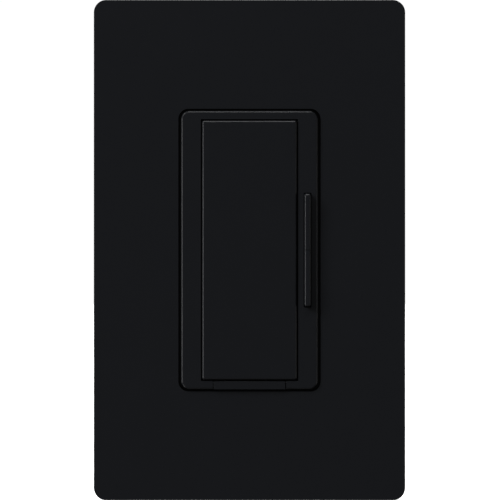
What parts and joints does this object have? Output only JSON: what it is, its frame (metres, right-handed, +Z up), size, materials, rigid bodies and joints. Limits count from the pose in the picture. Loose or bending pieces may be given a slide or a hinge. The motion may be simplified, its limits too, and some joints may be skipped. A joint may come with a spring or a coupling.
{
  "type": "tap paddle wall dimmer with side dimming rocker",
  "caption": "Black wall-box dimmer: a tall tap paddle beside a slim dimming rocker, with a pull-out service tab, under a screwless wall plate.",
  "frame": {"origin": "midway between the two wall-box screws, on the wall's surface", "axes": "+Z up, along the wall plate's length; +Y into the wall, along the wall-box screws; +X to the right, seen from the front"},
  "size_m": [0.0742, 0.0402, 0.119],
  "materials": {
    "black_plastic": "satin",
    "inner_plastic": "matt",
    "case_plastic": "matt",
    "yoke_sheet": "satin",
    "zinc_steel": "satin",
    "green_screw": "satin",
    "black_screw": "satin",
    "brass": "satin",
    "contact_metal": "satin",
    "copper_wire": "enamelled",
    "ferrite": "coated",
    "board": "satin",
    "chip_black": "matt",
    "film_yellow": "gloss",
    "sleeve_blue": "gloss",
    "paper": "matt",
    "rubber_pad": "matt"
  },
  "bodies": {
    "dimmer": {"wall_plate": "black_plastic", "plate_adapter": "inner_plastic", "adapter_screws": "black_screw", "bezel": "black_plastic", "paddle_spring": "zinc_steel", "yoke": "yoke_sheet", "mounting_screws": "zinc_steel", "screw_retainers": "paper", "ground_screw": "green_screw", "back_cover": "case_plastic", "housing_screws": "zinc_steel", "rating_label": "paper", "insulator_sheet": "paper", "circuit_board": "board", "paddle_switch": "chip_black", "rocker_switches": "chip_black", "switch_covers": "zinc_steel", "air_gap_contacts": "contact_metal", "triac": "chip_black", "triac_heat_tab": "yoke_sheet", "triac_pad": "rubber_pad", "triac_rivet": "zinc_steel", "choke_core": "ferrite", "choke_winding": "copper_wire", "film_capacitor": "film_yellow", "electrolytic_capacitor": "sleeve_blue", "varistor": "sleeve_blue", "microcontroller": "chip_black", "bridge_rectifier": "chip_black", "gate_driver": "chip_black", "resistors": "sleeve_blue", "terminal_plates": "brass", "terminal_clamps": "brass", "terminal_screws": "brass", "common_screw": "black_screw"},
    "paddle": {"tap_paddle": "black_plastic"},
    "paddle_switch_plunger": {"paddle_plunger": "chip_black"},
    "rocker": {"dimming_rocker": "black_plastic"},
    "raise_switch_plunger": {"raise_plunger": "chip_black"},
    "lower_switch_plunger": {"lower_plunger": "chip_black"},
    "service_switch": {"service_tab": "black_plastic", "air_gap_bridge": "contact_metal"}
  },
  "joints": [
    {"name": "paddle_press", "type": "hinge", "parent": "dimmer", "child": "paddle", "pos_m": [0, -0.0042, 0.0286], "axis": [1, 0, 0], "range_deg": [0, 1], "stiffness_Nm_per_rad": 0.6, "springref_deg": -5.16, "deforming": ["paddle_spring"]},
    {"name": "paddle_plunger_slide", "type": "slide", "parent": "dimmer", "child": "paddle_switch_plunger", "axis": [0, 1, 0], "range_m": [0, 0.0003]},
    {"name": "rocker_tilt", "type": "hinge", "parent": "dimmer", "child": "rocker", "pos_m": [0.0138, -0.0046, 0], "axis": [1, 0, 0], "range_deg": [-2.1, 2.1], "stiffness_Nm_per_rad": 0.3},
    {"name": "raise_plunger_slide", "type": "slide", "parent": "dimmer", "child": "raise_switch_plunger", "axis": [0, 1, 0], "range_m": [-0.00021, 0.00021]},
    {"name": "lower_plunger_slide", "type": "slide", "parent": "dimmer", "child": "lower_switch_plunger", "axis": [0, 1, 0], "range_m": [-0.00021, 0.00021]},
    {"name": "service_tab_pull", "type": "slide", "parent": "dimmer", "child": "service_switch", "axis": [0, -1, 0], "range_m": [0, 0.003]}
  ],
  "couplings": [
    {"joint": "paddle_plunger_slide", "follows": "paddle_press", "m_per_rad": 0.0167},
    {"joint": "raise_plunger_slide", "follows": "rocker_tilt", "m_per_rad": -0.0055},
    {"joint": "lower_plunger_slide", "follows": "rocker_tilt", "m_per_rad": 0.0055}
  ]
}
